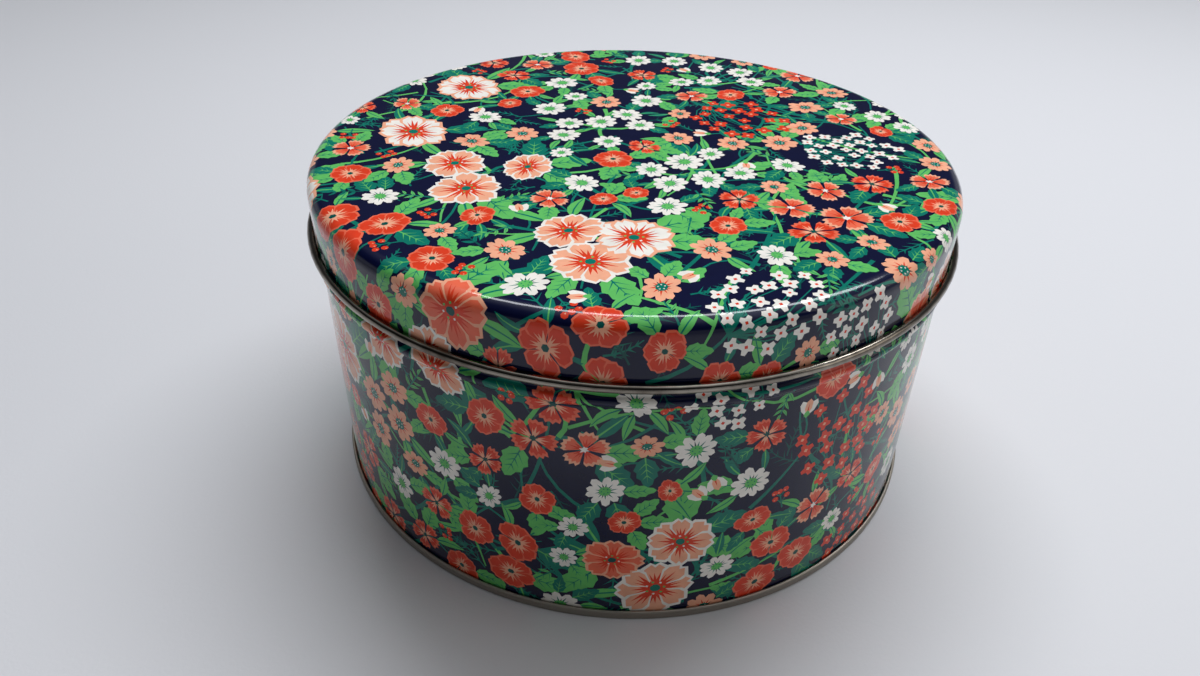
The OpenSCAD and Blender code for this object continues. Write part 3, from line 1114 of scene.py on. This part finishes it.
def profile_run(profile, places):
    """How far along a profile each place lies, from 0 to 1."""
    profile = np.array(profile)
    run = np.concatenate(([0], np.cumsum(np.hypot(*np.diff(profile, axis=0).T))))
    across, up = np.hypot(places[:, 0], places[:, 1]), places[:, 2]
    nearest, batch = np.empty(len(places)), 20000
    for start in range(0, len(places), batch):
        part = slice(start, start + batch)
        gap = np.hypot(across[part, None] - profile[:, 0], up[part, None] - profile[:, 1])
        nearest[part] = run[gap.argmin(1)]
    return nearest / run[-1]


def lid_print_map(flat, place, middle):
    return 0.5 + flat * (DISC_R / BLANK_R)


def lid_metal_map(place, middle):
    run = profile_run(lid_profile + [(0.0, TIN_TOP - SHEET)], place)
    turn = np.arctan2(place[:, 1], place[:, 0])
    round_middle = np.column_stack((np.cos(turn), np.sin(turn)))
    return CORNER_MIDDLE + CORNER_R * (1 - run)[:, None] * round_middle


def turns_round(place, middle):
    """How far round the tin each corner and its face's middle lie, in turns from -0.5 to 0.5 with
    the front at 0. A corner at the back counts on its own face's side."""
    corner, face = (np.arctan2(p[:, 0], -p[:, 1]) / TURN for p in (place, middle))
    return face + (corner - face + 0.5) % 1 - 0.5, face


def body_print_map(flat, place, middle):
    turn, face_turn = turns_round(place, middle)
    left = face_turn < 0
    u = (turn * STRIP_LONG + np.where(left, half_long, 0) + 1) * ROW
    v = (flat[:, 1] + half_tall + 1) * ROW + np.where(left, 0, (STRIP_TALL + 4) * ROW)
    return np.column_stack((u, v))


def body_metal_map(place, middle):
    tall = 1 - 2 * MAP_GAP - METAL_ROW
    v = METAL_ROW + MAP_GAP + tall * profile_run(body_profile, place)
    return np.column_stack((0.5 + METAL_LONG * turns_round(place, middle)[0], v))


map_sheet(lid, lid_print_map, lid_metal_map)
map_sheet(body, body_print_map, body_metal_map)

# %% [markdown]
# ## Printed tinplate
# The wall and the lid are tinplate with flat printing inks under a clear baked varnish. The ink of
# each face is read from the sheet and picks one stop of a stepped ramp. Ink and varnish bend light
# alike, so the only shine is the varnish's own: smooth, with finger smears that dull it, and a
# faint orange peel. Such varnish has an IOR near 1.47, and 1.39 comes nearer to the photograph's
# deep navy. Thin sheet is never quite flat, so a broad shallow wave bends the reflections.

# %% Printed tinplate material
printed_tinplate, tree, shader = new_material("varnished_printed_tinplate", IOR=1.39)
place = object_place(tree)
ink = add_node(tree, "Attribute", {}, attribute_name="ink").outputs["Fac"]
ramp = add_node(tree, "ValToRGB", {"Fac": ink})
set_ramp(ramp, [(i / len(INKS), linear(colour)) for i, colour in enumerate(INKS)], "CONSTANT")
laid_down = ranged(tree, noise(tree, place, 260.0, 4.0), 0.3, 0.7, 0.9, 1.04)
colour = add_node(tree, "VectorMath", {0: ramp.outputs["Color"], "Scale": laid_down},
                  operation="SCALE").outputs["Vector"]
gloss = ranged(tree, noise(tree, place, 38.0, 5.0, 0.6), 0.35, 0.7, 0.07, 0.17)
wavy = bumped(tree, noise(tree, place, 22.0, 1.0), 0.5, 0.6 * MM)
peeled = bumped(tree, noise(tree, place, 900.0, 2.0), 0.15, 0.03 * MM, wavy)
for name, value in (("Base Color", colour), ("Roughness", gloss), ("Normal", peeled)):
    tree.links.new(value, shader[name])
print("printed tinplate:", len(tree.nodes), "nodes")

# %% [markdown]
# ## Bare tinplate
# Where there is no ink the sheet is bright tin over steel: a metal, pale and a little warm, with
# the fine straight grain of the rolling mill, and duller where hands and damp have been. The inside
# is painted paler, as painted light that lifts the dark of a hollow that sees mostly itself. The
# rolled edges outside are painted darker, as painted shade for the dark surroundings they reflect.
# The seam at the foot, which has stood on shelves for years, is the dullest.

# %% Bare tinplate materials
def bare_tinplate(name, bright, dull, roughness, patches, worn_beyond=None):
    """Tinplate that is dull in patches, and all over beyond so many mm from the tin's axis."""
    material, tree, shader = new_material(name, Metallic=1.0)
    place = object_place(tree)
    age = ranged(tree, noise(tree, place, 55.0, 6.0, 0.65), *patches, 0.0, 1.0)
    if worn_beyond:
        across = add_node(tree, "VectorMath", {0: place, 1: (1.0, 1.0, 0.0)}, operation="MULTIPLY")
        radius = add_node(tree, "VectorMath", {0: across.outputs["Vector"]}, operation="LENGTH")
        worn = (worn_beyond - 1) * MM, worn_beyond * MM
        age = ranged(tree, radius.outputs["Value"], *worn, age, 0.75)
    ramp = add_node(tree, "ValToRGB", {"Fac": age})
    set_ramp(ramp, [(0.0, linear(bright)), (1.0, linear(dull))])
    along = add_node(tree, "Mapping", {"Vector": place, "Scale": (60.0, 60.0, 2600.0)})
    grain = noise(tree, along.outputs["Vector"], 1.0, 3.0)
    mixed = add_node(tree, "Math", {0: grain, 1: age, 2: 0.2}, operation="MULTIPLY_ADD")
    rough = ranged(tree, mixed.outputs["Value"], 0.2, 0.9, *roughness)
    for name, value in (("Base Color", ramp.outputs["Color"]), ("Roughness", rough),
                        ("Normal", bumped(tree, grain, 0.2, 0.02 * MM))):
        tree.links.new(value, shader[name])
    return material


# bright and dull colour, roughness of both, noise at which patches start and are full, worn radius
# the roll's colours are darkened as painted shade for the dark surroundings it reflects
TINPLATES = (("roll_tin_worn_and_painted_dark", "#9d968b", "#5a5249", (0.1, 0.24), (0.36, 0.66)),
             # the inside's colours are made paler as painted light for the shade of the hollow
             ("inside_tin_worn_and_painted_pale", "#e2dfd8", "#c4beb2", (0.28, 0.46), (0.45, 0.75)),
             ("dulled_seam_tinplate", "#dedad2", "#74695a", (0.3, 0.56), (0.5, 1.6), 94.5))
worn_painted_dark_roll_tin, worn_painted_pale_inside_tin, seam_tinplate = (bare_tinplate(*look) for look in TINPLATES)
print("bare tinplate materials:", ", ".join(look[0] for look in TINPLATES))

# %% [markdown]
# ## Finish
# Each piece gets its materials and its place on a moving body: the lid lifts, the rest stays. The
# bottom end keeps its solid, whose folds are already right, and only its metal changes.

# %% Materials, bodies and sizes
# a sheet's inner faces lie within a radius and between two heights, in millimetres
INSIDES = ((lid, 94.75, LID_ROLL[1], TIN_TOP), (body, 94.3, 0.0, 94.2))
for sheet, inner_r, low_z, high_z in INSIDES:
    mesh = sheet.data
    for material in (printed_tinplate, worn_painted_dark_roll_tin, worn_painted_pale_inside_tin):
        mesh.materials.append(material)
    ink = face_inks(mesh)
    x, y, z = values_of(mesh.polygons, "center", 3).T / MM
    unprinted = (ink == 0) | (ink > 1)
    inside = unprinted & (np.hypot(x, y) < inner_r) & (z > low_z) & (z < high_z)
    # bare outer faces take the roll's painted-dark metal, and inner faces the painted-pale metal
    mesh.polygons.foreach_set("material_index", unprinted.astype(np.int32) + inside)
    print(sheet.name, "printed faces:", (~unprinted).sum(), "rolled:", (unprinted & ~inside).sum(),
          "inside:", inside.sum())
side_seam.data.materials.append(worn_painted_pale_inside_tin)
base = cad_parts["base_end"]
for material_slot in base.material_slots:
    material_slot.link = "OBJECT"
    material_slot.material = seam_tinplate

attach(lid, "lid")
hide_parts("lid")
for piece in (body, side_seam):
    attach(piece, "tin")
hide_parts("tin_body")
